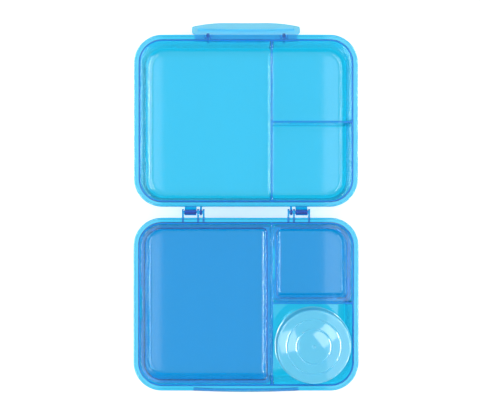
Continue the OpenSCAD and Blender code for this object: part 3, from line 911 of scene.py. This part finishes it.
def ray_is(tree, light_path, *kinds):
    """One for a ray of any of the kinds named, and nought for every other ray."""
    result = light_path.outputs[kinds[0]]
    for kind in kinds[1:]:
        either = tree.nodes.new("ShaderNodeMath")
        either.operation = "MAXIMUM"
        tree.links.new(result, either.inputs[0])
        tree.links.new(light_path.outputs[kind], either.inputs[1])
        result = either.outputs[0]
    return result


def scaled(tree, value, factor):
    """A value times a factor."""
    made = tree.nodes.new("ShaderNodeMath")
    made.operation = "MULTIPLY"
    made.inputs[1].default_value = factor
    tree.links.new(value, made.inputs[0])
    return made.outputs[0]


def table_material():
    """A white table top: paper that takes shadows, lifted to white where it's seen."""
    material, tree, body, out = shader("white_table")
    body.inputs["Base Color"].default_value = (0.8, 0.8, 0.8, 1)
    body.inputs["Roughness"].default_value = 0.9
    body.inputs["Specular IOR Level"].default_value = 0.1
    light_path = tree.nodes.new("ShaderNodeLightPath")
    lifted = tree.nodes.new("ShaderNodeEmission")
    seen_here = ray_is(tree, light_path, "Is Camera Ray", "Is Glossy Ray")
    tree.links.new(scaled(tree, seen_here, TABLE_LIFT), lifted.inputs["Strength"])
    paper = tree.nodes.new("ShaderNodeAddShader")
    tree.links.new(body.outputs[0], paper.inputs[0])
    tree.links.new(lifted.outputs[0], paper.inputs[1])
    glow = tree.nodes.new("ShaderNodeEmission")
    choice = tree.nodes.new("ShaderNodeMixShader")
    through = scaled(tree, light_path.outputs["Is Transmission Ray"], TABLE_THROUGH)
    tree.links.new(through, choice.inputs[0])
    tree.links.new(paper.outputs[0], choice.inputs[1])
    tree.links.new(glow.outputs[0], choice.inputs[2])
    tree.links.new(choice.outputs[0], out.inputs["Surface"])
    return material


bpy.ops.mesh.primitive_plane_add(size=6, location=(0, 0, -TABLE_DROP))
table_top = bpy.context.object
table_top.name = "table_top"
table_top.data.materials.append(table_material())

world = bpy.data.worlds.new("white_room")
scene.world = world
world.use_nodes = True
sky = world.node_tree
background = sky.nodes["Background"]
background.inputs["Color"].default_value = (1, 1, 1, 1)
sky_path = sky.nodes.new("ShaderNodeLightPath")
seen = ray_is(sky, sky_path, "Is Camera Ray", "Is Glossy Ray", "Is Transmission Ray")
strength = sky.nodes.new("ShaderNodeMapRange")
strength.inputs["To Min"].default_value = ROOM_LIGHT
strength.inputs["To Max"].default_value = ROOM_SEEN
sky.links.new(seen, strength.inputs["Value"])
sky.links.new(strength.outputs["Result"], background.inputs["Strength"])


def softbox(name, place, target, size, power, gloss_only=False):
    """A lamp facing its target, with two sides in size. Only shiny faces see a gloss_only one."""
    lamp = bpy.data.lights.new(name, "AREA")
    lamp.shape = "RECTANGLE"
    lamp.size, lamp.size_y = size
    lamp.energy = power
    obj = bpy.data.objects.new(name, lamp)
    scene.collection.objects.link(obj)
    obj.location = place
    obj.rotation_mode = "QUATERNION"
    obj.rotation_quaternion = (Vector(target) - Vector(place)).to_track_quat("-Z", "Y")
    if gloss_only:
        obj.visible_diffuse = False
        obj.visible_transmission = False


def shine(name, place, target, size, power):
    """A strip that only draws the white lines along the plastic's edges."""
    softbox(name, place, target, size, power, gloss_only=True)


for side, name in ((-1, "left"), (1, "right")):
    panel_x = side * 0.27
    softbox(name + "_softbox", (side * 0.8, 0.1, 0.8), BOX_MIDDLE, (1.4, 0.4), 5)
    shine(name + "_high_strip", (side * 0.38, 0.1, 1.19), BOX_MIDDLE, (1.5, 0.17), 8)
    shine(name + "_low_strip", (side * 0.85, 0.1, 0.3), BOX_MIDDLE, (1.5, 0.16), 26)
    shine(name + "_panel", (panel_x, 0.1, 1.2), (panel_x, 0.1, 0), (0.17, 1.5), 1.4)
softbox("left_window", (0.115, -0.24, 1.5), WINDOWS_AT, (0.045, 0.05), 0.04)
softbox("right_window", (0.209, -0.224, 1.5), WINDOWS_AT, (0.05, 0.045), 0.045)

camera_data = bpy.data.cameras.new("camera")
camera_data.sensor_width = SENSOR
camera_data.lens = LENS
camera_data.clip_start, camera_data.clip_end = 0.01, 20
camera = bpy.data.objects.new("camera", camera_data)
scene.collection.objects.link(camera)
camera.location = CAMERA_PLACE
scene.camera = camera
scene.view_settings.view_transform = "Standard"
scene.cycles.max_bounces = BOUNCES
scene.cycles.glossy_bounces = BOUNCES
scene.cycles.transmission_bounces = BOUNCES
